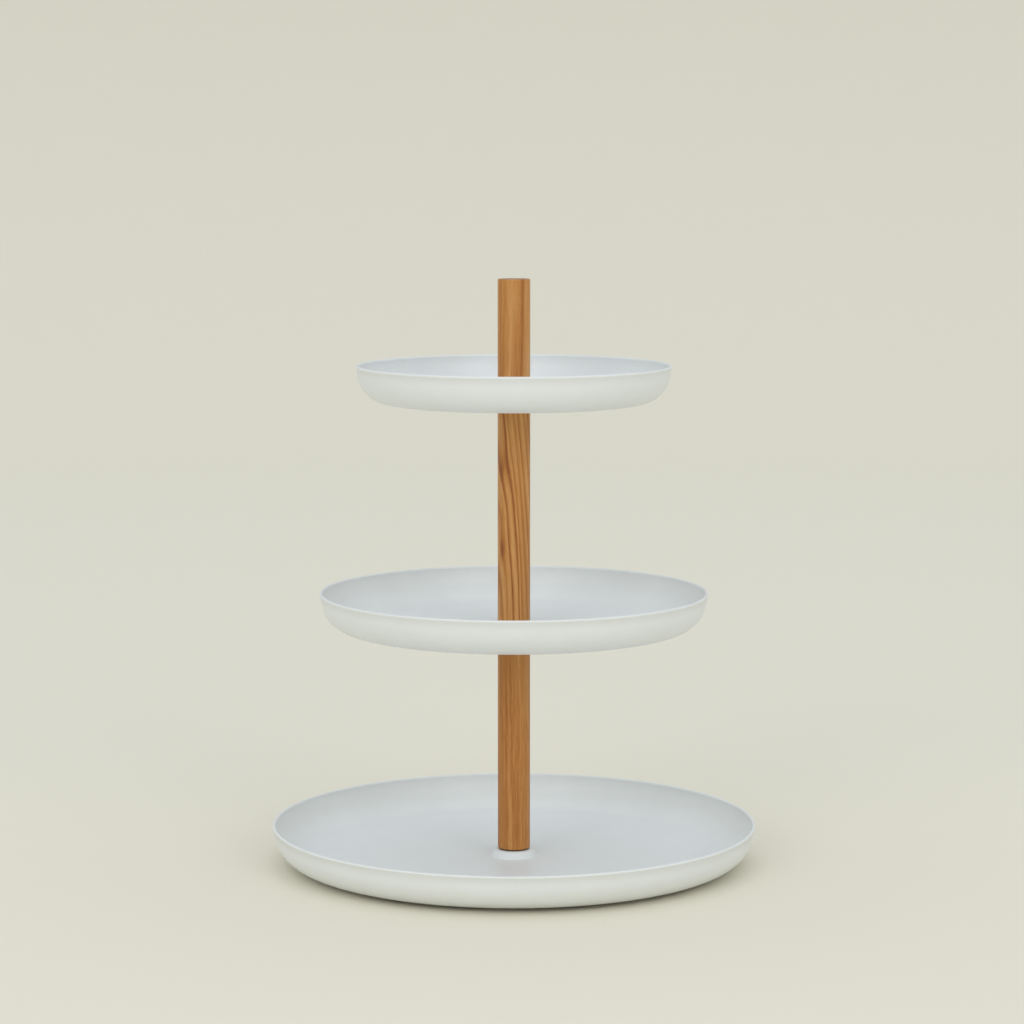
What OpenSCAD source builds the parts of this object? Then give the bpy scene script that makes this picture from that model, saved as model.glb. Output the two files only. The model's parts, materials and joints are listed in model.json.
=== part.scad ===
// Three-tier cake stand: dished sheet-steel trays on turned wooden posts.
// The posts screw together through the middles of the trays, and the top one
// is the handle. Millimetres, +Z up, origin on the table under the posts' axis.
// -Y is the front.

/* [Trays] */
// Outside diameter of the bottom tray at its rim
bottom_tray_d = 300; // [240:5:360]
// Outside diameter of the middle tray at its rim
middle_tray_d = 240; // [190:5:300]
// Outside diameter of the top tray at its rim
top_tray_d = 194; // [150:2:240]
// Height of each tray, from its underside to the top of its rim
tray_h = 23; // [22:0.5:40]
// Thickness of the pressed sheet
sheet_t = 1.2; // [0.8:0.1:1.6]
// Outside radius of the bend between floor and wall
bend_r = 19; // [8:0.5:19]
// Lean of the wall outwards from upright, in degrees
wall_lean = 8; // [0:1:20]
// Thickness of the rounded bead along the rim
bead_d = 1.8; // [1.7:0.1:3]

/* [Boss] */
// Height that the middle of the bottom tray is raised by
boss_h = 4.5; // [4.5:0.5:8]
// Radius of the boss's flat top
boss_top_r = 10.6; // [9.6:0.2:16]
// Slope of the boss's side, in degrees from level
boss_slope = 62; // [45:1:75]
// Radius of the boss's bends, to the middle of the sheet
boss_bend_r = 1.5; // [1:0.1:2]

/* [Posts] */
// Diameter of the wooden posts and the handle
post_d = 20; // [19.5:0.5:30]
// Length of the lower post and of the middle post
post_l = 138; // [80:1:200]
// Length of the handle
handle_l = 74; // [50:1:120]
// Chamfer around the ends of the posts
post_chamfer = 0.8; // [0.3:0.1:1]
// Chamfer around the handle's top, which is crisper
handle_top_chamfer = 0.4; // [0.2:0.1:1]

/* [Fixings] */
// Nominal diameter of the screw thread
thread_d = 6; // [6:1:6]
// Pitch of the screw thread
thread_pitch = 1; // [1:1:1]
// Length of thread that stands out of a post's lower end
stud_out = 12; // [11:0.5:13]
// Length of a stud inside its post
stud_in = 18; // [14:1:24]
// Length of a threaded insert
insert_l = 13; // [13:1:16]
// Outside diameter of a threaded insert
insert_d = 10; // [9:0.5:11]
// Length of the base screw under its head
base_screw_l = 12; // [11:0.5:13]
// Diameter of the base screw's head
screw_head_d = 12; // [10:0.5:13]
// Height of the base screw's head
screw_head_h = 3.3; // [2.5:0.1:3.5]
// Outside diameter of the steel washer under the bottom tray
base_washer_d = 16; // [13:0.5:18]
// Thickness of the steel washer under the bottom tray
base_washer_t = 1; // [0.8:0.1:1]
// Outside diameter of the thin rubber washers between trays and posts
soft_washer_d = 19; // [14:0.5:19]
// Thickness of the thin rubber washers
soft_washer_t = 0.5; // [0.3:0.1:0.8]

/* [Feet] */
// Height of the rubber feet
foot_h = 2; // [1.5:0.5:6]
// Diameter of the rubber feet
foot_d = 16; // [10:1:16]
// Distance from the axis to the middle of each foot
foot_at_r = 120; // [80:1:120]
// Angle of the first foot, in degrees from +X
first_foot_angle = 236.6; // [0:0.1:360]

/* [Hidden] */
$fn = 96;

// fits
running_clearance = 0.05;       // radial, thread in insert
hole_clearance = 0.25;          // radial, thread through trays and washers
thread_r = thread_d / 2;
hole_r = thread_r + hole_clearance;
insert_bore_r = thread_r + running_clearance;
drill_spare = 1;                // how much deeper than an insert its hole is
stud_tip = 0.6;                 // chamfer on a thread's end
stud_point_l = 3;               // taper at a stud's end in the wood
stud_point_r = 1;
slot_w = 1.4;                   // screwdriver slot across an insert
slot_depth = 1.5;
cross_l = 6.4;                  // cross recess in the base screw
cross_w = 1.3;
cross_depth = 1.8;
foot_edge = 0.5;                // rounding of a foot's lower edge
foot_count = 3;

// heights, from the table upwards
bottom_tray_z = foot_h;
boss_under_z = bottom_tray_z + boss_h;
boss_top_z = boss_under_z + sheet_t;
lower_post_z = boss_top_z + soft_washer_t;
lower_post_end_z = lower_post_z + post_l;
middle_tray_z = lower_post_end_z + soft_washer_t;
middle_post_z = middle_tray_z + sheet_t + soft_washer_t;
middle_post_end_z = middle_post_z + post_l;
top_tray_z = middle_post_end_z + soft_washer_t;
handle_z = top_tray_z + sheet_t + soft_washer_t;

// a tray's section, along the middle of its sheet
mid_bend_r = bend_r - sheet_t / 2;
bead_z = tray_h - bead_d / 2;
bend_lap = 0.5;                 // degrees
wall_foot_z = bend_r - mid_bend_r * sin(wall_lean);
wall_run = (bead_z - wall_foot_z) * tan(wall_lean);
function bend_at(tray_d) =
    tray_d / 2 - bead_d / 2 - wall_run - mid_bend_r * cos(wall_lean);

// the boss's section: two bends joined by a straight slope
slope_rise = boss_h - 2 * boss_bend_r * (1 - cos(boss_slope));
boss_foot_r = boss_top_r + 2 * boss_bend_r * sin(boss_slope)
    + slope_rise / tan(boss_slope);

steel_white = "#e4e7e8";
oak_light = "#c79a6b";
oak_dark = "#b0824f";
brass = "#c2a14d";
zinc = "#b9bcbf";
rubber = "#2b2622";

// A straight stretch of sheet from point a to point b
module sheet_line(a, b) {
    along = b - a;
    translate(a) rotate(atan2(along[1], along[0]))
        translate([0, -sheet_t / 2]) square([norm(along), sheet_t]);
}

// A bend of the sheet about point c, between two angles less than 90 apart. It
// runs a hair past both, so that it joins the straights
module sheet_bend(c, r, from, to) {
    reach = 2 * (r + sheet_t);
    a = from - bend_lap;
    b = to + bend_lap;
    translate(c) intersection() {
        difference() {
            circle(r = r + sheet_t / 2);
            circle(r = r - sheet_t / 2);
        }
        polygon([[0, 0], reach * [cos(a), sin(a)], reach * [cos(b), sin(b)]]);
    }
}

// Bend, wall and rim bead of a tray
module wall_section(tray_d) {
    bend_x = bend_at(tray_d);
    wall_foot = [bend_x + mid_bend_r * cos(wall_lean), wall_foot_z];
    bead = [tray_d / 2 - bead_d / 2, bead_z];
    sheet_bend([bend_x, bend_r], mid_bend_r, -90, -wall_lean);
    sheet_line(wall_foot, bead);
    translate(bead) circle(d = bead_d);
}

module flat_tray(tray_d, z) {
    color(steel_white) translate([0, 0, z]) rotate_extrude() {
        sheet_line([hole_r, sheet_t / 2], [bend_at(tray_d), sheet_t / 2]);
        wall_section(tray_d);
    }
}

module bottom_tray() {
    floor_y = sheet_t / 2;
    top_y = floor_y + boss_h;
    upper_c = [boss_top_r, top_y - boss_bend_r];
    lower_c = [boss_foot_r, floor_y + boss_bend_r];
    normal = boss_bend_r * [sin(boss_slope), cos(boss_slope)];
    color(steel_white) translate([0, 0, bottom_tray_z]) rotate_extrude() {
        sheet_line([hole_r, top_y], [boss_top_r, top_y]);
        sheet_bend(upper_c, boss_bend_r, 90 - boss_slope, 90);
        sheet_line(upper_c + normal, lower_c - normal);
        sheet_bend(lower_c, boss_bend_r, 270 - boss_slope, 270);
        sheet_line([boss_foot_r, floor_y], [bend_at(bottom_tray_d), floor_y]);
        wall_section(bottom_tray_d);
    }
}

module middle_tray() { flat_tray(middle_tray_d, middle_tray_z); }

module top_tray() { flat_tray(top_tray_d, top_tray_z); }

// A round bar standing at height z, chamfered at its lower and upper ends
module chamfered_bar(r, l, low, high, z) {
    translate([0, 0, z]) rotate_extrude()
        polygon([[0, 0], [r - low, 0], [r, low],
                 [r, l - high], [r - high, l], [0, l]]);
}

// The hole for an insert, opening upwards or downwards from height z
module insert_hole(z, up) {
    depth = insert_l + drill_spare;
    translate([0, 0, up ? z - depth : z]) cylinder(d = insert_d, h = depth);
}

// The part of a stud inside the wood above height z, with its tapered point
module stud_shank(z) {
    translate([0, 0, z]) cylinder(r = thread_r, h = stud_in - stud_point_l);
    translate([0, 0, z + stud_in - stud_point_l])
        cylinder(r1 = thread_r, r2 = stud_point_r, h = stud_point_l);
}

module lower_post() {
    color(oak_dark) difference() {
        chamfered_bar(post_d / 2, post_l, post_chamfer, post_chamfer, lower_post_z);
        insert_hole(lower_post_z, false);
        insert_hole(lower_post_end_z, true);
    }
}

module middle_post() {
    color(oak_light) difference() {
        chamfered_bar(post_d / 2, post_l, post_chamfer, post_chamfer, middle_post_z);
        stud_shank(middle_post_z);
        insert_hole(middle_post_end_z, true);
    }
}

module handle_post() {
    color(oak_light) difference() {
        chamfered_bar(post_d / 2, handle_l, post_chamfer, handle_top_chamfer, handle_z);
        stud_shank(handle_z);
    }
}

// A threaded insert from height z, slotted across its upper or lower end
module insert(z, slot_up) {
    color(brass) translate([0, 0, z]) difference() {
        cylinder(d = insert_d, h = insert_l);
        cylinder(r = insert_bore_r, h = insert_l);
        translate([-insert_d / 2, -slot_w / 2, slot_up ? insert_l - slot_depth : 0])
            cube([insert_d, slot_w, slot_depth]);
    }
}

module lower_post_base_insert() { insert(lower_post_z, false); }

module lower_post_top_insert() { insert(lower_post_end_z - insert_l, true); }

module middle_post_top_insert() { insert(middle_post_end_z - insert_l, true); }

// A stud whose post starts at height z
module stud(z) {
    color(zinc) {
        stud_shank(z);
        translate([0, 0, z - stud_out]) {
            cylinder(r1 = thread_r - stud_tip, r2 = thread_r, h = stud_tip);
            translate([0, 0, stud_tip]) cylinder(r = thread_r, h = stud_out - stud_tip);
        }
    }
}

module middle_post_stud() { stud(middle_post_z); }

module handle_stud() { stud(handle_z); }

// The screw comes up from below, with its domed head in the boss's hollow
module base_screw() {
    head_r = screw_head_d / 2;
    dome_r = (head_r * head_r + screw_head_h * screw_head_h) / (2 * screw_head_h);
    under_head_z = boss_under_z - base_washer_t;
    color(zinc) translate([0, 0, under_head_z]) {
        cylinder(r = thread_r, h = base_screw_l - stud_tip);
        translate([0, 0, base_screw_l - stud_tip])
            cylinder(r1 = thread_r, r2 = thread_r - stud_tip, h = stud_tip);
        difference() {
            rotate_extrude() intersection() {
                translate([0, dome_r - screw_head_h]) circle(r = dome_r);
                translate([0, -screw_head_h]) square([head_r, screw_head_h]);
            }
            for (turn = [0, 90])
                rotate(turn) translate([-cross_l / 2, -cross_w / 2, -screw_head_h])
                    cube([cross_l, cross_w, cross_depth]);
        }
    }
}

module washer(d, t, z) {
    translate([0, 0, z]) difference() {
        cylinder(d = d, h = t);
        cylinder(r = hole_r, h = t);
    }
}

module soft_washer(z) { color(rubber) washer(soft_washer_d, soft_washer_t, z); }

module base_washer() {
    color(zinc) washer(base_washer_d, base_washer_t, boss_under_z - base_washer_t);
}

module lower_post_washer() { soft_washer(boss_top_z); }

module middle_tray_under_washer() { soft_washer(lower_post_end_z); }

module middle_post_washer() { soft_washer(middle_tray_z + sheet_t); }

module top_tray_under_washer() { soft_washer(middle_post_end_z); }

module handle_washer() { soft_washer(top_tray_z + sheet_t); }

// One of the feet, stuck under the bottom tray
module foot(index) {
    r = foot_d / 2;
    color(rubber) rotate(first_foot_angle + index * 360 / foot_count)
        translate([foot_at_r, 0]) rotate_extrude() {
            translate([0, foot_edge]) square([r, foot_h - foot_edge]);
            square([r - foot_edge, foot_edge]);
            translate([r - foot_edge, foot_edge]) intersection() {
                circle(r = foot_edge);
                translate([0, -foot_edge]) square(foot_edge);
            }
        }
}

module front_left_foot() { foot(0); }

module right_foot() { foot(1); }

module back_left_foot() { foot(2); }

bottom_tray();
middle_tray();
top_tray();
lower_post();
middle_post();
handle_post();
lower_post_base_insert();
lower_post_top_insert();
middle_post_top_insert();
middle_post_stud();
handle_stud();
base_screw();
base_washer();
lower_post_washer();
middle_tray_under_washer();
middle_post_washer();
top_tray_under_washer();
handle_washer();
front_left_foot();
right_foot();
back_left_foot();
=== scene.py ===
"""A three-tier cake stand: powder-coated trays on a column of oiled wooden posts.

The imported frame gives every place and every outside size. This script adds the
pressed and turned shapes, the threads, the finishes and the studio.
"""

import json
import math

import bmesh
import bpy
from bpy.props import FloatProperty, FloatVectorProperty, IntProperty, PointerProperty
from mathutils import Matrix, Vector

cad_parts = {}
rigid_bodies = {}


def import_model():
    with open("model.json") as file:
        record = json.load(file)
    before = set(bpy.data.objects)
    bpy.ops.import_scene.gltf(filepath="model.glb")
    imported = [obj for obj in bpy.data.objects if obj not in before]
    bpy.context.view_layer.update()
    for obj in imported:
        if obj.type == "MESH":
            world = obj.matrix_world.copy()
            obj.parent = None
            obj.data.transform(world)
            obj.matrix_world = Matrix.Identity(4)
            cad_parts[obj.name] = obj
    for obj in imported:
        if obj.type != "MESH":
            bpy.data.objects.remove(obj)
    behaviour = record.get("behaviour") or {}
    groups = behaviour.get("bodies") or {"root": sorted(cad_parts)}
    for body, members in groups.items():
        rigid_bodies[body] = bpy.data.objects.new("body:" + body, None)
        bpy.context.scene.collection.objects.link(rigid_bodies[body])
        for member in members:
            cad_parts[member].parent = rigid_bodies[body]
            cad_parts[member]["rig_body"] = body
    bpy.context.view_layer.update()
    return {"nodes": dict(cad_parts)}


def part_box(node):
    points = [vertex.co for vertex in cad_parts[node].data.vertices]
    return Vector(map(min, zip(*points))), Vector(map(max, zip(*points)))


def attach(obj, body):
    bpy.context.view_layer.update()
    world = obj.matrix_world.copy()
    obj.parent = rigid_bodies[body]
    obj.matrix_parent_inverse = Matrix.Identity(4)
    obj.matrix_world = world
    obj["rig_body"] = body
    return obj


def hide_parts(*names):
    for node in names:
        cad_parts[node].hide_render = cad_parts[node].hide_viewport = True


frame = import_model()

bl_info = {
    "name": "Tiered Cake Stand",
    "version": (1, 0, 0),
    "blender": (4, 5, 0),
    "location": "3D View > Sidebar > Cake Stand",
    "description": "Builds the finished pieces of a three-tier cake stand around its CAD frame",
    "category": "Object",
}

MM = 0.001
WELD = 2e-6  # points closer than this are one point
ROUNDING = 2e-5  # share of its path radius that a turned point may be out by
ROWS_A_TURN = 8  # rows of points in one turn of a thread
WASHER_STEPS = 96
FOOT_STEPS = 72
PAPER_STEPS = 160
TRAYS = ("bottom_tray", "middle_tray", "top_tray")
POSTS = ("lower_post", "middle_post", "handle_post")
STUDS = ("middle_post_stud", "handle_stud")
INSERTS = ("lower_post_base_insert", "lower_post_top_insert", "middle_post_top_insert")
SOFT_WASHERS = (
    "lower_post_washer",
    "middle_tray_under_washer",
    "middle_post_washer",
    "top_tray_under_washer",
    "handle_washer",
)
FEET = ("front_left_foot", "right_foot", "back_left_foot")


def linear(hex_colour):
    """An sRGB hex colour as linear red, green and blue."""
    shares = [int(hex_colour[i : i + 2], 16) / 255 for i in (1, 3, 5)]
    return tuple(s / 12.92 if s <= 0.04045 else ((s + 0.055) / 1.055) ** 2.4 for s in shares)


def foot_of(node):
    """Height of a CAD node's lowest point."""
    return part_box(node)[0].z


def height_of(node):
    """Height of a CAD node."""
    low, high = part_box(node)
    return high.z - low.z


def radius_of(node):
    """Outside radius of a round CAD node, to the nearest 0.05 mm."""
    low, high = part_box(node)
    return round((high.x - low.x) / 2 / MM * 20) / 20 * MM


# ---------------------------------------------------------------- settings


class TraySizes(bpy.types.PropertyGroup):
    sheet: FloatProperty(
        name="Sheet", description="Thickness of the sheet", default=1.2 * MM, unit="LENGTH"
    )
    bend: FloatProperty(
        name="Bend",
        description="Outside radius of the bend between floor and wall",
        default=19 * MM,
        unit="LENGTH",
    )
    lean: FloatProperty(
        name="Lean",
        description="Lean of the wall outwards from upright",
        default=math.radians(8),
        subtype="ANGLE",
    )
    bead: FloatProperty(
        name="Bead", description="Thickness of the rim's bead", default=1.8 * MM, unit="LENGTH"
    )
    hole: FloatProperty(
        name="Hole",
        description="Radius of the hole in the middle",
        default=3.25 * MM,
        unit="LENGTH",
    )
    boss_height: FloatProperty(
        name="Boss height",
        description="Height that the middle of the bottom tray is raised by",
        default=4.5 * MM,
        unit="LENGTH",
    )
    boss_top: FloatProperty(
        name="Boss top",
        description="Radius of the boss's flat top",
        default=10.6 * MM,
        unit="LENGTH",
    )
    boss_slope: FloatProperty(
        name="Boss slope",
        description="Slope of the boss's side from level",
        default=math.radians(62),
        subtype="ANGLE",
    )
    boss_bend: FloatProperty(
        name="Boss bend",
        description="Radius of the boss's bends, to the middle of the sheet",
        default=1.5 * MM,
        unit="LENGTH",
    )
    steps: IntProperty(
        name="Steps", description="Straight steps round a tray", default=288, min=32
    )


class PostSizes(bpy.types.PropertyGroup):
    chamfer: FloatProperty(
        name="Chamfer",
        description="Chamfer round both ends of a post",
        default=0.8 * MM,
        unit="LENGTH",
    )
    handle_chamfer: FloatProperty(
        name="Handle chamfer",
        description="Chamfer round the handle's top",
        default=0.4 * MM,
        unit="LENGTH",
    )
    soften: FloatProperty(
        name="Soften",
        description="Radius that sanding leaves on an edge",
        default=0.3 * MM,
        unit="LENGTH",
    )
    insert_hole: FloatProperty(
        name="Insert hole",
        description="Radius of the hole for an insert",
        default=5 * MM,
        unit="LENGTH",
    )
    insert_depth: FloatProperty(
        name="Insert depth",
        description="Depth of the hole for an insert",
        default=14 * MM,
        unit="LENGTH",
    )
    stud_hole: FloatProperty(
        name="Stud hole",
        description="Radius of the hole for a stud",
        default=3 * MM,
        unit="LENGTH",
    )
    stud_depth: FloatProperty(
        name="Stud depth",
        description="Depth of the hole for a stud",
        default=18 * MM,
        unit="LENGTH",
    )
    steps: IntProperty(
        name="Steps", description="Straight steps round a post", default=128, min=24
    )


class FixingSizes(bpy.types.PropertyGroup):
    pitch: FloatProperty(
        name="Pitch", description="Pitch of the screw thread", default=1 * MM, unit="LENGTH"
    )
    crest: FloatProperty(
        name="Crest",
        description="Radius over the thread's crests",
        default=3 * MM,
        unit="LENGTH",
    )
    root: FloatProperty(
        name="Root",
        description="Radius at the thread's roots",
        default=2.45 * MM,
        unit="LENGTH",
    )
    wood_pitch: FloatProperty(
        name="Wood pitch",
        description="Pitch of the coarse threads that hold in wood",
        default=2.5 * MM,
        unit="LENGTH",
    )
    insert_bore: FloatProperty(
        name="Insert bore",
        description="Radius inside an insert, over its thread's crests",
        default=3.05 * MM,
        unit="LENGTH",
    )
    steps: IntProperty(
        name="Steps", description="Straight steps round a thread", default=48, min=12
    )


class Finishes(bpy.types.PropertyGroup):
    powder: FloatVectorProperty(
        name="Powder coat",
        description="Colour of the trays",
        subtype="COLOR",
        default=linear("#e8ebeb"),
    )
    wood_dark: FloatVectorProperty(
        name="Wood, dark",
        description="Colour of the darkest grain",
        subtype="COLOR",
        default=linear("#8c4710"),
    )
    wood_mid: FloatVectorProperty(
        name="Wood, middle",
        description="Colour between the grain lines",
        subtype="COLOR",
        default=linear("#b87832"),
    )
    wood_light: FloatVectorProperty(
        name="Wood, light",
        description="Colour of the palest grain",
        subtype="COLOR",
        default=linear("#d39e5e"),
    )
    brass: FloatVectorProperty(
        name="Brass",
        description="Colour of the inserts",
        subtype="COLOR",
        default=linear("#d9b66a"),
    )
    zinc: FloatVectorProperty(
        name="Zinc plate",
        description="Colour of the studs, screw and washer",
        subtype="COLOR",
        default=linear("#c9cdd2"),
    )
    rubber: FloatVectorProperty(
        name="Rubber",
        description="Colour of the feet and the soft washers",
        subtype="COLOR",
        default=linear("#2b2725"),
    )
    backdrop: FloatVectorProperty(
        name="Backdrop",
        description="Colour of the studio's paper",
        subtype="COLOR",
        default=linear("#ede8d7"),
    )


class StudioSettings(bpy.types.PropertyGroup):
    lens: FloatProperty(
        name="Lens", description="Focal length in millimetres", default=111.35, min=20
    )
    distance: FloatProperty(
        name="Distance",
        description="From the stand's axis to the camera",
        default=1.9395,
        unit="LENGTH",
    )
    height: FloatProperty(
        name="Height",
        description="Height of the camera above the table",
        default=0.450,
        unit="LENGTH",
    )
    aside: FloatProperty(
        name="Aside",
        description="How far the camera stands to the right of the axis",
        default=-1.2 * MM,
        unit="LENGTH",
    )
    pitch: FloatProperty(
        name="Pitch",
        description="How far the camera looks down",
        default=math.radians(6.79),
        subtype="ANGLE",
    )
    left_light: FloatProperty(
        name="Left light", description="Power of the soft light at the left", default=25, min=0
    )
    right_light: FloatProperty(
        name="Right light",
        description="Power of the soft light at the right",
        default=22,
        min=0,
    )
    backdrop_light: FloatProperty(
        name="Backdrop light",
        description="Power of the light on the paper behind the stand",
        default=1.5,
        min=0,
    )
    sky_light: FloatProperty(
        name="Sky light", description="Strength of the even light from above", default=0.74, min=0
    )


class CakeStand(bpy.types.PropertyGroup):
    tray: PointerProperty(type=TraySizes)
    post: PointerProperty(type=PostSizes)
    fixing: PointerProperty(type=FixingSizes)
    finish: PointerProperty(type=Finishes)
    studio: PointerProperty(type=StudioSettings)


# ---------------------------------------------------------------- node trees


def add(tree, kind, inputs=None, **settings):
    """Adds a node with its settings. An input is a value, a socket or a node's first output."""
    made = tree.nodes.new(kind)
    for name, value in settings.items():
        setattr(made, name, value)
    for key, value in (inputs or {}).items():
        if isinstance(value, bpy.types.Node):
            value = next(s for s in value.outputs if s.enabled)
        if isinstance(value, bpy.types.NodeSocket):
            tree.links.new(value, made.inputs[key])
        else:
            made.inputs[key].default_value = value
    return made


def new_tree(name, inputs):
    """An empty geometry tree with its group input; the inputs are name: kind."""
    tree = bpy.data.node_groups.new(name, "GeometryNodeTree")
    for label, kind in {**inputs, "Material": "Material"}.items():
        tree.interface.new_socket(label, in_out="INPUT", socket_type=f"NodeSocket{kind}")
    tree.interface.new_socket("Geometry", in_out="OUTPUT", socket_type="NodeSocketGeometry")
    return tree, add(tree, "NodeGroupInput").outputs


def end_tree(tree, geometry, material, weld=WELD):
    """Welds, smooths and colours the geometry, and sends it out."""
    welded = add(tree, "GeometryNodeMergeByDistance", {"Geometry": geometry, "Distance": weld})
    smooth = add(tree, "GeometryNodeSetShadeSmooth", {"Geometry": welded})
    real = add(tree, "GeometryNodeRealizeInstances", {"Geometry": smooth})
    painted = add(tree, "GeometryNodeSetMaterial", {"Geometry": real, "Material": material})
    add(tree, "NodeGroupOutput", {"Geometry": painted})
    return tree


def turning_tree():
    """Turns a section, drawn as edges with x outwards from the path and y up, round the axis."""
    tree, given = new_tree(
        "Turned", {"Geometry": "Geometry", "Steps": "Int", "Path radius": "Float"}
    )
    # a path that runs anticlockwise carries its section upside down
    righted = add(
        tree, "GeometryNodeTransform", {"Geometry": given["Geometry"], "Scale": (1, -1, 1)}
    )
    section = add(tree, "GeometryNodeMeshToCurve", {"Mesh": righted})
    ring = add(
        tree,
        "GeometryNodeCurvePrimitiveCircle",
        {"Resolution": given["Steps"], "Radius": given["Path radius"]},
    )
    upright = add(tree, "GeometryNodeSetCurveNormal", {"Curve": ring}, mode="Z_UP")
    body = add(tree, "GeometryNodeCurveToMesh", {"Curve": upright, "Profile Curve": section})
    # rounding puts the points at the axis further apart on a larger path
    rounding = add(
        tree, "ShaderNodeMath", {0: given["Path radius"], 1: ROUNDING}, operation="MULTIPLY"
    )
    weld = add(tree, "ShaderNodeMath", {0: rounding, 1: WELD}, operation="MAXIMUM")
    return end_tree(tree, body, given["Material"], weld)


def thread_tree():
    """A right-handed helical ridge round an upright cylinder, fading out at both ends."""
    tree, given = new_tree(
        "Thread",
        {
            "Steps": "Int",
            "Radius": "Float",
            "Ridge": "Float",
            "Pitch": "Float",
            "Foot": "Float",
            "Length": "Float",
            "Run out": "Float",
            "Rows a turn": "Int",
        },
    )

    def calc(operation, a, b=0.0, c=0.0):
        return add(tree, "ShaderNodeMath", {0: a, 1: b, 2: c}, operation=operation)

    turns = calc("ADD", calc("CEIL", calc("DIVIDE", given["Length"], given["Pitch"])), 1.0)
    rows = calc("MULTIPLY", turns, given["Rows a turn"])
    grid = add(
        tree,
        "GeometryNodeMeshGrid",
        {
            "Size X": 1.0,
            "Size Y": 1.0,
            "Vertices X": calc("ADD", given["Steps"], 1.0),
            "Vertices Y": calc("ADD", rows, 1.0),
        },
    )
    place = add(tree, "ShaderNodeSeparateXYZ", {0: add(tree, "GeometryNodeInputPosition")})
    around = calc("ADD", place.outputs["X"], 0.5)
    along = calc("MULTIPLY", calc("ADD", place.outputs["Y"], 0.5), turns)
    # across one pitch: 1 on the crest, 0 over the root; the nudge keeps whole turns together
    nudge, root_end, crest_start = 0.001, 0.25, 0.9
    across = calc("FRACT", calc("ADD", along, nudge))
    side = calc("ABSOLUTE", calc("MULTIPLY_ADD", across, 2.0, -1.0))
    ridge = add(
        tree, "ShaderNodeMapRange", {"Value": side, "From Min": root_end, "From Max": crest_start}
    )
    climb = calc("MULTIPLY", calc("SUBTRACT", calc("ADD", along, around), 1.0), given["Pitch"])
    up = add(tree, "ShaderNodeClamp", {"Value": climb, "Min": 0.0, "Max": given["Length"]})
    start = add(
        tree, "ShaderNodeMapRange", {"Value": up, "From Min": 0.0, "From Max": given["Run out"]}
    )
    left = calc("SUBTRACT", given["Length"], up)
    end = add(
        tree, "ShaderNodeMapRange", {"Value": left, "From Min": 0.0, "From Max": given["Run out"]}
    )
    fade = calc("MULTIPLY", start, end)
    rise = calc("MULTIPLY", calc("MULTIPLY", ridge, fade), given["Ridge"])
    radius = calc("ADD", given["Radius"], rise)
    angle = calc("MULTIPLY", around, math.tau)
    spot = add(
        tree,
        "ShaderNodeCombineXYZ",
        {
            0: calc("MULTIPLY", radius, calc("COSINE", angle)),
            1: calc("MULTIPLY", radius, calc("SINE", angle)),
            2: calc("ADD", up, given["Foot"]),
        },
    )
    wound = add(tree, "GeometryNodeSetPosition", {"Geometry": grid, "Position": spot})
    return end_tree(tree, wound, given["Material"])


def shaped(tree, values, section=(), closed=False):
    """The mesh that a tree makes from these inputs and this section, in metres."""
    edges = [(i, i + 1) for i in range(len(section) - 1)]
    if closed:
        edges.append((len(section) - 1, 0))
    drawn = bpy.data.meshes.new("section")
    drawn.from_pydata([(x, y, 0) for x, y in section], edges, [])
    holder = bpy.data.objects.new("holder", drawn)
    bpy.context.scene.collection.objects.link(holder)
    modifier = holder.modifiers.new("shape", "NODES")
    modifier.node_group = tree
    for item in tree.interface.items_tree:
        if item.in_out == "INPUT" and item.name in values:
            modifier[item.identifier] = values[item.name]
    seen = holder.evaluated_get(bpy.context.evaluated_depsgraph_get())
    mesh = bpy.data.meshes.new_from_object(seen)
    bpy.data.objects.remove(holder)
    bpy.data.meshes.remove(drawn)
    return mesh


def turned(section, material, steps, closed=False):
    """A section of (radius, height) points turned round the axis."""
    path = max(x for x, _ in section)
    values = {"Steps": steps, "Path radius": path, "Material": material}
    return shaped(
        bpy.data.node_groups["Turned"], values, [(x - path, y) for x, y in section], closed
    )


def threaded(radius, ridge, pitch, foot, length, run_out, material, steps):
    """A thread of this length from the foot up, its ridge fading in over the run out."""
    values = {
        "Steps": steps,
        "Radius": radius,
        "Ridge": ridge,
        "Pitch": pitch,
        "Foot": foot,
        "Length": length,
        "Run out": run_out,
        "Rows a turn": ROWS_A_TURN,
        "Material": material,
    }
    return shaped(bpy.data.node_groups["Thread"], values)


def piece(name, meshes, at=(0, 0, 0)):
    """One object from meshes that meet edge to edge, with its faces outwards."""
    joined = bmesh.new()
    for mesh in meshes:
        joined.from_mesh(mesh)
    bmesh.ops.remove_doubles(joined, verts=joined.verts, dist=WELD)
    bmesh.ops.dissolve_degenerate(joined, edges=joined.edges, dist=WELD / 4)
    bmesh.ops.recalc_face_normals(joined, faces=joined.faces)
    bmesh.ops.translate(joined, verts=joined.verts, vec=at)
    body = bpy.data.meshes.new(name)
    joined.to_mesh(body)
    joined.free()
    for material in meshes[0].materials:
        body.materials.append(material)
    for mesh in meshes:
        bpy.data.meshes.remove(mesh)
    made = bpy.data.objects.new(name, body)
    bpy.context.scene.collection.objects.link(made)
    return made


def cut(target, cutter):
    """Takes the cutter's shape out of the target, and removes the cutter."""
    modifier = target.modifiers.new("cut", "BOOLEAN")
    modifier.operation = "DIFFERENCE"
    modifier.solver = "EXACT"
    modifier.object = cutter
    seen = target.evaluated_get(bpy.context.evaluated_depsgraph_get())
    result = bpy.data.meshes.new_from_object(seen)
    target.modifiers.clear()
    old = target.data
    target.data = result
    bpy.data.meshes.remove(old)
    result.name = target.name
    bpy.data.objects.remove(cutter)
    return target


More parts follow.
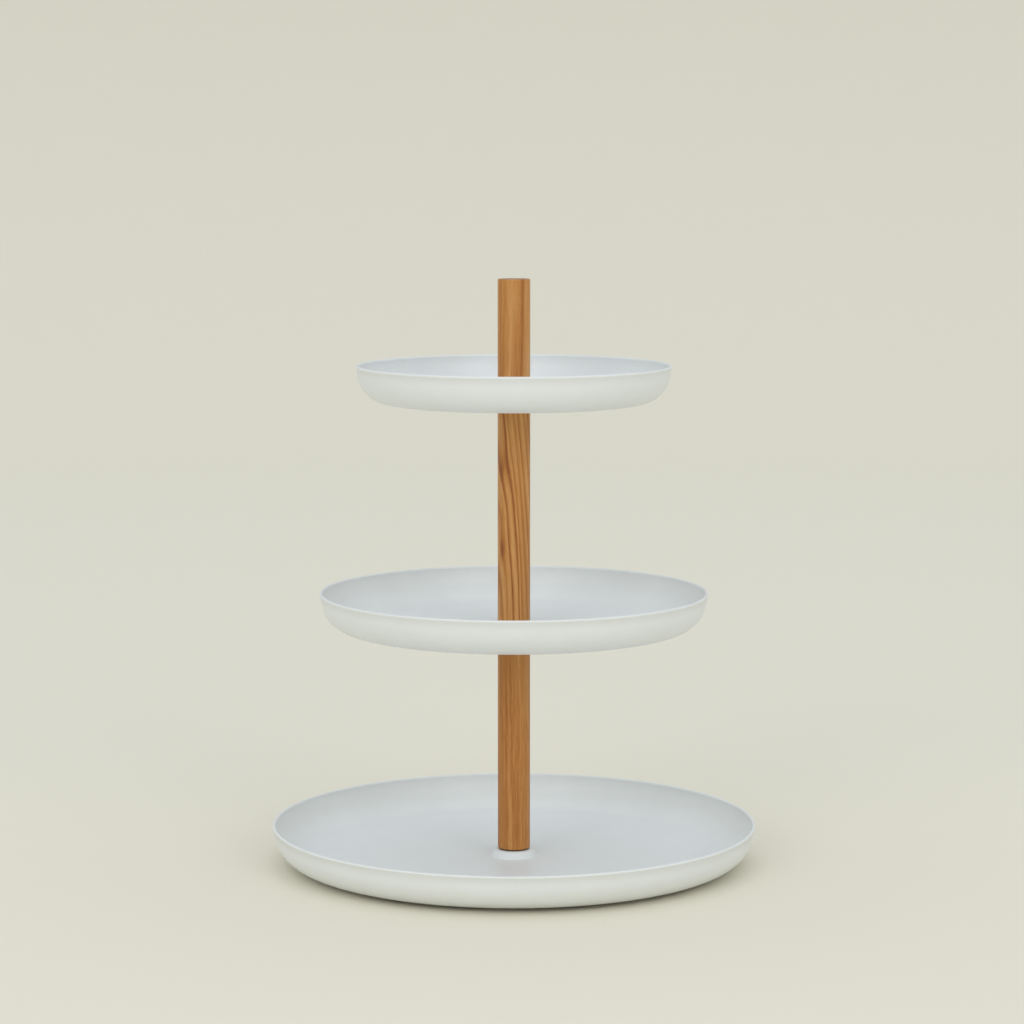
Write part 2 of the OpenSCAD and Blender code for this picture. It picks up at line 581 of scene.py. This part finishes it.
def wedge(long, wide, deep, taper=1.0, turn=0.0):
    """A block that reaches deep above and below the origin, and narrows upwards to taper."""
    block = bmesh.new()
    bmesh.ops.create_cube(block, size=1)
    for corner in block.verts:
        x = corner.co.x * long * (taper if corner.co.z > 0 else 1)
        y = corner.co.y * wide * ((1 + taper) / 2 if corner.co.z > 0 else 1)
        corner.co = (x, y, corner.co.z * 2 * deep)
    block.transform(Matrix.Rotation(turn, 4, "Z"))
    mesh = bpy.data.meshes.new("wedge")
    block.to_mesh(mesh)
    block.free()
    made = bpy.data.objects.new("wedge", mesh)
    bpy.context.scene.collection.objects.link(made)
    return made


def hand_over(made, node):
    """The piece stands for a CAD node, and rides on that node's body."""
    if not made.data.polygons:
        raise RuntimeError(f"{made.name} has no faces")
    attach(made, frame["nodes"][node]["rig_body"])
    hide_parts(node)
    return made


# ---------------------------------------------------------------- sections


def arc(centre, radius, start, end, steps):
    """Points round part of a circle, by angles in radians from outwards towards up."""
    angles = [start + (end - start) * i / steps for i in range(steps + 1)]
    return [(centre[0] + radius * math.cos(a), centre[1] + radius * math.sin(a)) for a in angles]


def eased(corners, closed=False, steps=5):
    """A section through corners of (radius, height, rounding), each rounded and held by a point
    on either side, so that smooth shading stays on the rounding."""
    hold = 0.3  # how far off the holding points are, as a share of the rounding
    points = []
    count = len(corners)
    for i, (x, y, rounding) in enumerate(corners):
        here = Vector((x, y))
        if rounding == 0 or (not closed and i in (0, count - 1)):
            points.append((x, y))
            continue
        before = (Vector(corners[i - 1][:2]) - here).normalized()
        after = (Vector(corners[(i + 1) % count][:2]) - here).normalized()
        half = before.angle(after) / 2
        back = rounding / math.tan(half)
        centre = here + (before + after).normalized() * (rounding / math.sin(half))
        first, last = here + before * back, here + after * back
        points.append(tuple(first + before * rounding * hold))
        turn = (last - centre).angle_signed(first - centre)
        start = math.atan2(first.y - centre.y, first.x - centre.x)
        points += arc(centre, rounding, start, start + turn, steps)
        points.append(tuple(last + after * rounding * hold))
    return points


def spread(start, end, gap):
    """Points from start to end, level, no more than gap apart, without the ends."""
    (x0, y), (x1, _) = start, end
    count = max(2, math.ceil(abs(x1 - x0) / gap))
    return [(x0 + (x1 - x0) * i / count, y) for i in range(1, count)]


def sheet_face(tray_radius, tray_height, sizes, side, boss):
    """One face of a tray's sheet from its hole to its bead: side 1 is the upper, -1 the lower."""
    offset = side * sizes.sheet / 2
    floor = sizes.sheet / 2 + offset
    bend = sizes.bend - sizes.sheet / 2
    bead = sizes.bead / 2
    wall_foot = sizes.bend - bend * math.sin(sizes.lean)
    run = (tray_height - bead - wall_foot) * math.tan(sizes.lean)
    bend_at = tray_radius - bead - run - bend * math.cos(sizes.lean)
    start = sizes.hole + sizes.sheet / 2
    boss_gap, floor_gap, boss_steps, bend_steps = 2 * MM, 5 * MM, 10, 36
    points = []
    if boss:
        r, slope = sizes.boss_bend, sizes.boss_slope
        rise = sizes.boss_height - 2 * r * (1 - math.cos(slope))
        foot_at = sizes.boss_top + 2 * r * math.sin(slope) + rise / math.tan(slope)
        top = floor + sizes.boss_height
        crown = (sizes.boss_top, top - offset - r)
        heel = (foot_at, sizes.sheet / 2 + r)
        points += [(start, top)] + spread((start, top), (sizes.boss_top, top), boss_gap)
        points += arc(crown, r + offset, math.pi / 2, math.pi / 2 - slope, boss_steps)
        points += arc(heel, r - offset, 1.5 * math.pi - slope, 1.5 * math.pi, boss_steps)
        start = foot_at
    points += spread((start, floor), (bend_at, floor), floor_gap)
    points += arc((bend_at, sizes.bend), bend - offset, -math.pi / 2, -sizes.lean, bend_steps)
    return points


def tray_section(tray_radius, tray_height, sizes, boss):
    """The closed section of a tray: upper face outwards, over the bead, lower face back."""
    bead = sizes.bead / 2
    rim = (tray_radius - bead, tray_height - bead)
    down = -math.pi / 2 - sizes.lean
    tuck = math.asin(sizes.sheet / 2 / bead)
    bead_steps, hole_steps = 28, 8
    over = arc(rim, bead, down - tuck, down + tuck - 2 * math.pi, bead_steps)
    hole_height = sizes.sheet / 2 + (sizes.boss_height if boss else 0)
    edge = (sizes.hole + sizes.sheet / 2, hole_height)
    upper = sheet_face(tray_radius, tray_height, sizes, 1, boss)
    lower = sheet_face(tray_radius, tray_height, sizes, -1, boss)
    around_hole = arc(edge, sizes.sheet / 2, -math.pi / 2, -1.5 * math.pi, hole_steps)
    first = 1 if boss else 0
    return around_hole + upper[first:] + over + lower[::-1][: len(lower) - first]


# ---------------------------------------------------------------- materials


def new_material(name):
    """A material with only its output and its main shader."""
    made = bpy.data.materials.new(name)
    made.use_nodes = True
    tree = made.node_tree
    tree.nodes.clear()
    shader = add(tree, "ShaderNodeBsdfPrincipled")
    add(tree, "ShaderNodeOutputMaterial", {"Surface": shader})
    return made, tree, shader


def noise(tree, size, detail):
    """Noise on the object, with features about this many metres across."""
    place = add(tree, "ShaderNodeTexCoord").outputs["Object"]
    return add(tree, "ShaderNodeTexNoise", {"Vector": place, "Scale": 1 / size, "Detail": detail})


def mixed(tree, share, first, second):
    """The colour between two, by a share that is a value or a node."""
    inputs = {0: share, 6: first, 7: second}
    return add(tree, "ShaderNodeMix", inputs, data_type="RGBA").outputs[2]


def scaled(colour, by):
    """A colour made lighter or darker, with its alpha."""
    return (*[c * by for c in colour], 1)


def between(tree, value, low, high):
    """A value from 0 to 1 laid out from low to high."""
    return add(tree, "ShaderNodeMapRange", {"Value": value, "To Min": low, "To Max": high})


def bumped(tree, height, strength, distance, **more):
    """A bump this many metres deep where the height is 1."""
    inputs = {"Height": height, "Strength": strength, "Distance": distance}
    return add(tree, "ShaderNodeBump", {**inputs, **more})


def wire(tree, shader, colour, rough=None, bump=None):
    """Links what a finish worked out to its main shader."""
    for source, name in ((colour, "Base Color"), (rough, "Roughness"), (bump, "Normal")):
        if source is not None:
            socket = source.outputs[0] if isinstance(source, bpy.types.Node) else source
            tree.links.new(socket, shader.inputs[name])


def powder_coat(colour):
    """Polyester powder, baked on steel: a hard satin white whose skin is faintly dimpled,
    like orange peel, so that it blurs what it reflects."""
    made, tree, shader = new_material("powder_coat")
    # dimples about 0.9 mm apart, and slow waves about 12 mm long where the film flowed
    peel = noise(tree, 0.9 * MM, 1.0)
    flow = noise(tree, 12 * MM, 0.0)
    fine = bumped(tree, peel, 0.12, 0.05 * MM)
    slow = bumped(tree, flow, 0.25, 0.08 * MM, Normal=fine)
    # thicker film is a touch whiter
    tone = mixed(tree, flow, scaled(colour, 0.975), (*colour, 1))
    wire(tree, shader, tone, between(tree, peel, 0.36, 0.44), slow)
    shader.inputs["IOR"].default_value = 1.5
    return made


def oiled_wood(name, dark, mid, light, grain):
    """Ring-porous hardwood, turned, sanded and oiled: a low sheen, dark open pores along the
    start of each year's growth, and fibres that run up the post."""
    made, tree, shader = new_material(name)

    def calc(operation, a, b=0.0, c=0.0):
        return add(tree, "ShaderNodeMath", {0: a, 1: b, 2: c}, operation=operation)

    def stretched(vector, across, along, **settings):
        """Noise that is across mm wide and along mm long."""
        sized = add(
            tree,
            "ShaderNodeVectorMath",
            {0: vector, 1: (1 / across, 1 / across, 1 / along)},
            operation="MULTIPLY",
        )
        return add(tree, "ShaderNodeTexNoise", {"Vector": sized, "Scale": 1.0, **settings})

    coordinates = add(tree, "ShaderNodeTexCoord").outputs["Object"]
    # millimetres, turned so that x points across the growth rings
    place = add(
        tree,
        "ShaderNodeMapping",
        {
            "Vector": coordinates,
            "Scale": (1 / MM, 1 / MM, 1 / MM),
            "Rotation": (0, 0, -grain["facing"]),
            "Location": (0, 0, -grain["height"]),
        },
    )
    drift = stretched(place, 9, 70, Detail=2.0)
    warped = add(
        tree,
        "ShaderNodeVectorMath",
        {0: drift.outputs["Color"], 1: (grain["wander"],) * 2 + (0,), 2: place},
        operation="MULTIPLY_ADD",
    )
    parts = add(tree, "ShaderNodeSeparateXYZ", {0: warped})
    up = parts.outputs["Z"]
    leaning = calc("MULTIPLY_ADD", up, grain["lean"], parts.outputs["X"])
    leaning = calc("MULTIPLY_ADD", calc("MULTIPLY", up, up), grain["bow"], leaning)
    smudge = 0.0
    for knot_at, size, push in grain["knots"]:
        gap = add(tree, "ShaderNodeVectorMath", {0: place, 1: knot_at}, operation="SUBTRACT")
        near = add(
            tree,
            "ShaderNodeVectorMath",
            {0: gap, 1: (1 / size, 1 / size, 0.3 / size)},
            operation="MULTIPLY",
        )
        far = add(tree, "ShaderNodeVectorMath", {0: near}, operation="LENGTH").outputs["Value"]
        spread_out = calc("MULTIPLY", far, far)
        swell = calc("EXPONENT", calc("MULTIPLY", spread_out, -1.0))
        leaning = calc("MULTIPLY_ADD", swell, push, leaning)
        smudge = calc("ADD", calc("EXPONENT", calc("MULTIPLY", spread_out, -4.0)), smudge)
    from_pith = add(
        tree,
        "ShaderNodeCombineXYZ",
        {0: calc("ADD", leaning, grain["pith"]), 1: parts.outputs["Y"]},
    )
    depth = calc(
        "SUBTRACT",
        add(tree, "ShaderNodeVectorMath", {0: from_pith}, operation="LENGTH").outputs["Value"],
        grain["pith"],
    )
    uneven_each_mm, strong_each_mm, knot_shade, pore_shade = 0.23, 0.31, -0.45, 0.2
    uneven = add(
        tree,
        "ShaderNodeTexNoise",
        {"W": calc("MULTIPLY", depth, uneven_each_mm), "Scale": 1.0, "Detail": 1.0},
        noise_dimensions="1D",
    )
    years = calc("MULTIPLY_ADD", depth, 1 / grain["ring"], grain["phase"])
    year = calc("FRACT", calc("MULTIPLY_ADD", uneven, grain["uneven"], years))
    ring = add(tree, "ShaderNodeValToRGB", {"Fac": year})
    stops = ring.color_ramp.elements
    stops[0].position, stops[0].color = 0.0, (0.1, 0.1, 0.1, 1)
    stops[1].position, stops[1].color = 1.0, (0.1, 0.1, 0.1, 1)
    for position, value in ((0.12, 0.2), (0.4, 0.68), (0.62, 0.8), (0.86, 0.5)):
        stops.new(position).color = (value, value, value, 1)
    # some years show strongly and others hardly
    start = grain["phase"] * 10
    strong = add(
        tree,
        "ShaderNodeTexNoise",
        {"W": calc("MULTIPLY_ADD", depth, strong_each_mm, start), "Scale": 1.0},
        noise_dimensions="1D",
    )
    strength = add(
        tree,
        "ShaderNodeMapRange",
        {"Value": strong, "From Min": 0.35, "From Max": 0.65, "To Min": 0.3, "To Max": 1.0},
    )
    # fibres follow the grain's lean
    grain_line = add(
        tree,
        "ShaderNodeCombineXYZ",
        {0: leaning, 1: parts.outputs["Y"], 2: parts.outputs["Z"]},
    )
    fibre = stretched(grain_line, 0.6, 14, Detail=4.0, Roughness=0.65)
    streak = stretched(grain_line, 3.2, 130, Detail=2.0)
    pores = stretched(grain_line, 0.32, 3.2, Detail=1.0)
    open_pore = add(
        tree, "ShaderNodeMapRange", {"Value": pores, "From Min": 0.58, "From Max": 0.7}
    )
    early = add(
        tree,
        "ShaderNodeMapRange",
        {"Value": year, "From Min": 0.55, "From Max": 0.05, "To Min": 0.3, "To Max": 1.0},
    )
    pore = calc("MULTIPLY", open_pore, early)
    rings = calc("MULTIPLY", calc("SUBTRACT", ring, 0.5), strength)
    tone = calc("MULTIPLY_ADD", rings, grain["contrast"], grain["tone"])
    tone = calc("MULTIPLY_ADD", calc("SUBTRACT", fibre, 0.5), grain["fibre"], tone)
    tone = calc("MULTIPLY_ADD", calc("SUBTRACT", streak, 0.5), grain["streak"], tone)
    tone = calc("MULTIPLY_ADD", smudge, knot_shade, tone)
    colour = add(tree, "ShaderNodeValToRGB", {"Fac": tone})
    shades = colour.color_ramp.elements
    shades[0].position, shades[0].color = 0.0, (*dark, 1)
    shades[1].position, shades[1].color = 1.0, (*light, 1)
    shades.new(0.5).color = (*mid, 1)
    speck = mixed(tree, calc("MULTIPLY", pore, pore_shade), colour, scaled(dark, 0.4))
    # end grain drinks more oil and is darker
    facing = add(tree, "ShaderNodeNewGeometry").outputs["Normal"]
    normal = add(tree, "ShaderNodeSeparateXYZ", {0: facing})
    end = add(
        tree,
        "ShaderNodeMapRange",
        {
            "Value": calc("ABSOLUTE", normal.outputs["Z"]),
            "From Min": 0.8,
            "From Max": 0.98,
            "To Min": 1.0,
            "To Max": 0.7,
        },
    )
    shade = add(
        tree,
        "ShaderNodeVectorMath",
        {0: speck, "Scale": end},
        operation="SCALE",
    )
    dip = calc("MULTIPLY_ADD", pore, -1.0, calc("MULTIPLY", fibre, 0.4))
    bump = bumped(tree, dip, 0.5, 0.06 * MM)
    wire(tree, shader, shade, between(tree, fibre, 0.38, 0.55), bump)
    return made


def turned_brass(colour):
    """Free-cutting brass, turned: warm, fairly bright, with fine rings left by the tool."""
    made, tree, shader = new_material("turned_brass")
    place = add(tree, "ShaderNodeTexCoord").outputs["Object"]
    # each wave is 2 pi / 20 of the texture's unit, so the tool marks are 0.94 mm apart
    unit = 3 * MM
    marks = add(
        tree,
        "ShaderNodeTexWave",
        {"Vector": place, "Scale": 1 / unit, "Distortion": 0.4, "Detail": 1.0},
        bands_direction="Z",
    )
    tarnish = noise(tree, 3 * MM, 3.0)
    tone = mixed(tree, tarnish, scaled(colour, 0.8), (*colour, 1))
    bump = bumped(tree, marks, 0.2, 0.02 * MM)
    wire(tree, shader, tone, between(tree, tarnish, 0.2, 0.38), bump)
    shader.inputs["Metallic"].default_value = 1.0
    return made


def zinc_plate(colour):
    """Bright zinc on steel, rolled or stamped before plating: silvery with a faint bluish and
    yellowish cloud from the passivation, and slightly uneven."""
    made, tree, shader = new_material("zinc_plate")
    cloud = noise(tree, 4 * MM, 2.0)
    skin = noise(tree, 0.4 * MM, 2.0)
    warm = (colour[0] * 1.0, colour[1] * 0.96, colour[2] * 0.86, 1)
    tone = mixed(tree, cloud, warm, (*colour, 1))
    bump = bumped(tree, skin, 0.15, 0.02 * MM)
    wire(tree, shader, tone, between(tree, skin, 0.22, 0.4), bump)
    shader.inputs["Metallic"].default_value = 1.0
    return made


def moulded_rubber(colour):
    """Black EPDM rubber, moulded: matt, with a fine grain and a little dust on it."""
    made, tree, shader = new_material("moulded_rubber")
    grain = noise(tree, 0.25 * MM, 2.0)
    dust = noise(tree, 2.5 * MM, 4.0)
    dusty = (*[c * 1.8 + 0.004 for c in colour], 1)
    tone = mixed(tree, dust, (*colour, 1), dusty)
    bump = bumped(tree, grain, 0.4, 0.03 * MM)
    wire(tree, shader, tone, between(tree, dust, 0.6, 0.85), bump)
    return made


def seamless_paper(colour):
    """Matt studio paper with a faint tooth."""
    made, tree, shader = new_material("seamless_paper")
    tooth = noise(tree, 2.5 * MM, 2.0)
    wire(tree, shader, mixed(tree, tooth, scaled(colour, 0.985), (*colour, 1)))
    shader.inputs["Roughness"].default_value = 0.85
    shader.inputs["Specular IOR Level"].default_value = 0.2
    return made


# How each post was cut from the board, in millimetres and radians. facing is the way that the
# growth rings face, lean how far they slope for each millimetre up, pith the distance to the
# tree's middle, and each knot a place, a size and how far it pushes the rings.
GRAIN = {
    "lower_post": {
        "facing": math.radians(8),
        "height": 77,
        "lean": 0.008,
        "bow": 0.0,
        "pith": 70,
        "ring": 2.4,
        "phase": 0.35,
        "uneven": 1.4,
        "wander": 1.2,
        "contrast": 0.28,
        "fibre": 1.0,
        "streak": 0.9,
        "tone": 0.47,
        "knots": (),
    },
    "middle_post": {
        "facing": math.radians(20),
        "height": 217,
        "lean": 0.075,
        "bow": 0.00035,
        "pith": 45,
        "ring": 3.1,
        "phase": 0.2,
        "uneven": 1.1,
        "wander": 1.8,
        "contrast": 1.15,
        "fibre": 0.75,
        "streak": 0.6,
        "tone": 0.58,
        "knots": (((-8.5, -4.0, 31), 5.5, 1.6), ((-9.0, -4.0, -19), 4.0, 1.2)),
    },
    "handle_post": {
        "facing": math.radians(168),
        "height": 325,
        "lean": 0.02,
        "bow": 0.0,
        "pith": 90,
        "ring": 11,
        "phase": 0.35,
        "uneven": 0.3,
        "wander": 1.0,
        "contrast": 1.1,
        "fibre": 0.7,
        "streak": 0.7,
        "tone": 0.6,
        "knots": (),
    },
}


# ---------------------------------------------------------------- operators


class CAKESTAND_OT_trays(bpy.types.Operator):
    """Press the three trays and coat them"""

    bl_idname = "cake_stand.trays"
    bl_label = "Trays"

    def execute(self, context):
        stand = context.scene.cake_stand
        coat = powder_coat(stand.finish.powder)
        for node in TRAYS:
            section = tray_section(
                radius_of(node), height_of(node), stand.tray, boss=node == "bottom_tray"
            )
            mesh = turned(section, coat, stand.tray.steps, closed=True)
            made = piece(f"{node}_pressed", [mesh], at=(0, 0, foot_of(node)))
            hand_over(made, node)
        return {"FINISHED"}


class CAKESTAND_OT_posts(bpy.types.Operator):
    """Turn the wooden posts and the handle"""

    bl_idname = "cake_stand.posts"
    bl_label = "Posts"

    def execute(self, context):
        stand = context.scene.cake_stand
        sizes, finish = stand.post, stand.finish
        insert = (sizes.insert_hole, sizes.insert_depth)
        stud = (sizes.stud_hole, sizes.stud_depth)
        bores = {
            "lower_post": (insert, insert),
            "middle_post": (stud, insert),
            "handle_post": (stud, None),
        }
        slots = ("lower_post_wood", "middle_post_wood", "handle_wood")
        for node, slot in zip(POSTS, slots):
            wood = oiled_wood(
                f"oiled_{slot}", finish.wood_dark, finish.wood_mid, finish.wood_light, GRAIN[node]
            )
            length, r = height_of(node), radius_of(node)
            (low_r, low_deep), high = bores[node]
            edge, c = sizes.soften, sizes.chamfer
            top = sizes.handle_chamfer if node == "handle_post" else c
            corners = [
                (0, low_deep, 0),
                (low_r, low_deep, edge),
                (low_r, 0, edge / 3),
                (r - c, 0, edge),
                (r, c, edge),
                (r, length - top, min(edge, top / 2)),
                (r - top, length, min(edge, top / 2)),
            ]
            if high:
                corners += [
                    (high[0], length, edge / 3),
                    (high[0], length - high[1], edge),
                    (0, length - high[1], 0),
                ]
            else:
                corners.append((0, length, 0))
            mesh = turned(eased(corners), wood, sizes.steps)
            made = piece(f"{node}_turned", [mesh], at=(0, 0, foot_of(node)))
            hand_over(made, node)
        return {"FINISHED"}


class CAKESTAND_OT_fixings(bpy.types.Operator):
    """Make the inserts, studs, base screw and steel washer"""

    bl_idname = "cake_stand.fixings"
    bl_label = "Fixings"

    def execute(self, context):
        stand = context.scene.cake_stand
        sizes = stand.fixing
        brass = turned_brass(stand.finish.brass)
        zinc = zinc_plate(stand.finish.zinc)
        for node in INSERTS:
            self.insert(node, sizes, brass, slot_up=node != "lower_post_base_insert")
        for node in STUDS:
            self.stud(node, sizes, zinc, stand.post.stud_depth)
        self.screw("base_screw", sizes, zinc)
        self.washer("base_washer", sizes, zinc, stand.tray.hole)
        return {"FINISHED"}

    @staticmethod
    def insert(node, sizes, brass, slot_up):
        """Threaded inside and out, and slotted across one end for a screwdriver."""
        length, r, bore = height_of(node), radius_of(node), sizes.insert_bore
        body, lip, lead = r - 0.8 * MM, 0.4 * MM, 0.9 * MM
        inside_ridge, outer_run, inner_run = 0.35 * MM, 1.2 * MM, 0.5 * MM
        steps, outer, inner = sizes.steps, length - 2 * lead, length - 2 * lip
        end = [(bore, lip), (bore + lip, 0), (body - lip, 0), (body, lip), (body, lead)]
        meshes = [
            turned(end, brass, steps),
            turned([(x, length - y) for x, y in end], brass, steps),
            threaded(body, r - body, sizes.wood_pitch, lead, outer, outer_run, brass, steps),
            threaded(bore, inside_ridge, sizes.pitch, lip, inner, inner_run, brass, steps),
        ]
        made = piece(f"{node}_threaded", meshes, at=(0, 0, foot_of(node)))
        slot_wide, slot_deep = 1.4 * MM, 1.5 * MM
        slot_height = foot_of(node) + (length if slot_up else 0)
        blade = wedge(3 * r, slot_wide, slot_deep)
        blade.data.transform(Matrix.Translation((0, 0, slot_height)))
        cut(made, blade)
        hand_over(made, node)

    @staticmethod
    def stud(node, sizes, zinc, wood_depth):
        """Machine thread below the post, coarse thread and a point inside it."""
        out = height_of(node) - wood_depth
        root, steps = sizes.root, sizes.steps
        tip, collar, core = 0.55 * MM, 2.7 * MM, 2.1 * MM
        shank, neck = 0.6 * MM, 0.9 * MM
        coarse, coarse_run, fine_run = 13 * MM, 1.5 * MM, 0.6 * MM
        fine, ridge = out - tip - shank, sizes.crest - root
        low = [(0, -out), (root - tip, -out), (root, tip - out)]
        middle = [(root, -shank), (collar, -shank / 2), (collar, neck / 2), (core, neck)]
        point = [
            (core, neck + coarse),
            (core * 0.8, wood_depth - 2.2 * MM),
            (core * 0.25, wood_depth - 0.3 * MM),
            (0, wood_depth),
        ]
        bite = sizes.crest - core
        meshes = [
            turned(low, zinc, steps),
            threaded(root, ridge, sizes.pitch, tip - out, fine, fine_run, zinc, steps),
            turned(middle, zinc, steps),
            threaded(core, bite, sizes.wood_pitch, neck, coarse, coarse_run, zinc, steps),
            turned(point, zinc, steps),
        ]
        made = piece(f"{node}_threaded", meshes, at=(0, 0, foot_of(node) + out))
        hand_over(made, node)

    @staticmethod
    def screw(node, sizes, zinc):
        """Domed head below, cross recess in it, thread above."""
        head_r, total = radius_of(node), height_of(node)
        head_h = 3.3 * MM
        length, root, steps = total - head_h, sizes.root, sizes.steps
        tip, under = 0.55 * MM, 0.5 * MM
        dome_r = (head_r**2 + head_h**2) / (2 * head_h)
        half = math.asin(head_r / dome_r)
        dome = arc((0, dome_r - head_h), dome_r, -math.pi / 2, half - math.pi / 2, 14)
        ease, rim, run_out = 0.12 * MM, 0.3 * MM, 0.6 * MM
        rounded = [(head_r, -ease), (head_r - ease, 0), (root + under, 0)]
        head = dome[:-1] + [(head_r, -rim)] + rounded + [(root, under)]
        end = [(root, length - tip), (root - tip, length), (0, length)]
        ridge, thread = sizes.crest - root, length - under - tip
        meshes = [
            turned(head, zinc, steps),
            threaded(root, ridge, sizes.pitch, under, thread, run_out, zinc, steps),
            turned(end, zinc, steps),
        ]
        made = piece(f"{node}_threaded", meshes, at=(0, 0, foot_of(node) + head_h))
        recess_long, recess_wide, recess_deep = 6.4 * MM, 1.3 * MM, 1.8 * MM
        for turn in (0, math.pi / 2):
            arm = wedge(recess_long, recess_wide, recess_deep, taper=0.35, turn=turn)
            arm.data.transform(Matrix.Translation((0, 0, foot_of(node))))
            cut(made, arm)
        hand_over(made, node)

    @staticmethod
    def washer(node, sizes, zinc, hole):
        """Stamped: rounder on the side that the punch entered."""
        r, t = radius_of(node), height_of(node)
        entered, left = 0.25 * MM, 0.1 * MM
        corners = [(hole, 0, entered), (r, 0, entered), (r, t, left), (hole, t, left)]
        mesh = turned(eased(corners, closed=True), zinc, 2 * sizes.steps, closed=True)
        made = piece(f"{node}_stamped", [mesh], at=(0, 0, foot_of(node)))
        hand_over(made, node)


class CAKESTAND_OT_rubber(bpy.types.Operator):
    """Make the soft washers and the feet"""

    bl_idname = "cake_stand.rubber"
    bl_label = "Rubber"

    def execute(self, context):
        stand = context.scene.cake_stand
        rubber = moulded_rubber(stand.finish.rubber)
        for node in SOFT_WASHERS:
            r, t, hole = radius_of(node), height_of(node), stand.tray.hole
            soft = 0.15 * MM
            edge = r - soft / 2
            corners = [(hole, 0, soft), (edge, 0, soft), (edge, t, soft), (hole, t, soft)]
            mesh = turned(eased(corners, closed=True), rubber, WASHER_STEPS, closed=True)
            made = piece(f"{node}_cut", [mesh], at=(0, 0, foot_of(node)))
            hand_over(made, node)
        for node in FEET:
            r, t = radius_of(node), height_of(node)
            corners = [
                (0, 0, 0),
                (r - 0.5 * MM, 0, 0.5 * MM),
                (r - 0.1 * MM, t * 0.6, 0.6 * MM),
                (r, t, 0.15 * MM),
                (0, t, 0),
            ]
            low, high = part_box(node)
            middle = (low + high) / 2
            mesh = turned(eased(corners), rubber, FOOT_STEPS)
            made = piece(f"{node}_moulded", [mesh], at=(middle.x, middle.y, low.z))
            hand_over(made, node)
        return {"FINISHED"}


class CAKESTAND_OT_studio(bpy.types.Operator):
    """Set the paper, the lights and the camera"""

    bl_idname = "cake_stand.studio"
    bl_label = "Studio"

    def execute(self, context):
        scene = context.scene
        studio = scene.cake_stand.studio
        paper = seamless_paper(scene.cake_stand.finish.backdrop)
        # a round sheet that curves up well behind the camera's furthest place
        flat, curve, slope = 2.4, 2.0, math.radians(60)
        bend = arc((flat, curve), curve, -math.pi / 2, slope - math.pi / 2, 24)
        level = [(flat * share, 0) for share in (0, 0.1, 0.3, 0.6)]
        cove = piece("paper", [turned(level + bend, paper, PAPER_STEPS)])
        scene.view_settings.view_transform = "Standard"
        scene.world = self.sky(studio.sky_light)
        soft_light = self.soft_light
        soft_light("left", (-1.9, -3.3, 1.7), size=2.0, power=studio.left_light)
        soft_light("right", (2.1, -3.2, 1.7), size=2.0, power=studio.right_light)
        paper_middle = (0, 4.2, 0.4)
        soft_light("backdrop", (0, 1.3, 2.8), 1.8, studio.backdrop_light, faces=paper_middle)
        data = bpy.data.cameras.new("camera")
        data.lens = studio.lens
        data.sensor_width = 36
        data.clip_start, data.clip_end = 0.05, 30
        camera = bpy.data.objects.new("camera", data)
        camera.location = (studio.aside, -studio.distance, studio.height)
        camera.rotation_euler = (math.pi / 2 - studio.pitch, 0, 0)
        scene.collection.objects.link(camera)
        scene.camera = camera
        return {"FINISHED"}

    @staticmethod
    def sky(strength):
        """Cool even light that is stronger overhead, as from a white ceiling."""
        world = bpy.data.worlds.new("sky")
        world.use_nodes = True
        tree = world.node_tree
        tree.nodes.clear()
        around = add(tree, "ShaderNodeTexCoord").outputs["Generated"]
        way = add(tree, "ShaderNodeSeparateXYZ", {0: around})
        level, overhead = 0.62 * strength, 1.5 * strength
        power = between(tree, way.outputs["Z"], level, overhead)
        colour = (*linear("#ecf1f6"), 1)
        light = add(tree, "ShaderNodeBackground", {"Color": colour, "Strength": power})
        add(tree, "ShaderNodeOutputWorld", {"Surface": light})
        return world

    @staticmethod
    def soft_light(name, place, size, power, faces=(0, 0, 0.15)):
        """A square soft box that faces a point, by default the middle of the stand."""
        data = bpy.data.lights.new(name, "AREA")
        data.size = size
        data.energy = power
        light = bpy.data.objects.new(name, data)
        light.location = place
        way = Vector(faces) - Vector(place)
        light.rotation_euler = way.to_track_quat("-Z", "Y").to_euler()
        light.visible_camera = False
        bpy.context.scene.collection.objects.link(light)


OPERATORS = (
    CAKESTAND_OT_trays,
    CAKESTAND_OT_posts,
    CAKESTAND_OT_fixings,
    CAKESTAND_OT_rubber,
    CAKESTAND_OT_studio,
)


class CAKESTAND_PT_panel(bpy.types.Panel):
    bl_label = "Cake Stand"
    bl_space_type = "VIEW_3D"
    bl_region_type = "UI"
    bl_category = "Cake Stand"

    def draw(self, context):
        stand = context.scene.cake_stand
        for title, group in (
            ("Trays", stand.tray),
            ("Posts", stand.post),
            ("Fixings", stand.fixing),
            ("Finishes", stand.finish),
            ("Studio", stand.studio),
        ):
            box = self.layout.box()
            box.label(text=title)
            for name in group.__annotations__:
                box.prop(group, name)
        for operator in OPERATORS:
            self.layout.operator(operator.bl_idname)


CLASSES = (
    TraySizes,
    PostSizes,
    FixingSizes,
    Finishes,
    StudioSettings,
    CakeStand,
    *OPERATORS,
    CAKESTAND_PT_panel,
)


def register():
    for cls in CLASSES:
        bpy.utils.register_class(cls)
    bpy.types.Scene.cake_stand = PointerProperty(type=CakeStand)


def unregister():
    del bpy.types.Scene.cake_stand
    for cls in reversed(CLASSES):
        bpy.utils.unregister_class(cls)


def main():
    register()
    turning_tree()
    thread_tree()
    bpy.ops.cake_stand.studio()
    bpy.ops.cake_stand.trays()
    bpy.ops.cake_stand.posts()
    bpy.ops.cake_stand.fixings()
    bpy.ops.cake_stand.rubber()


if __name__ == "__main__":
    main()
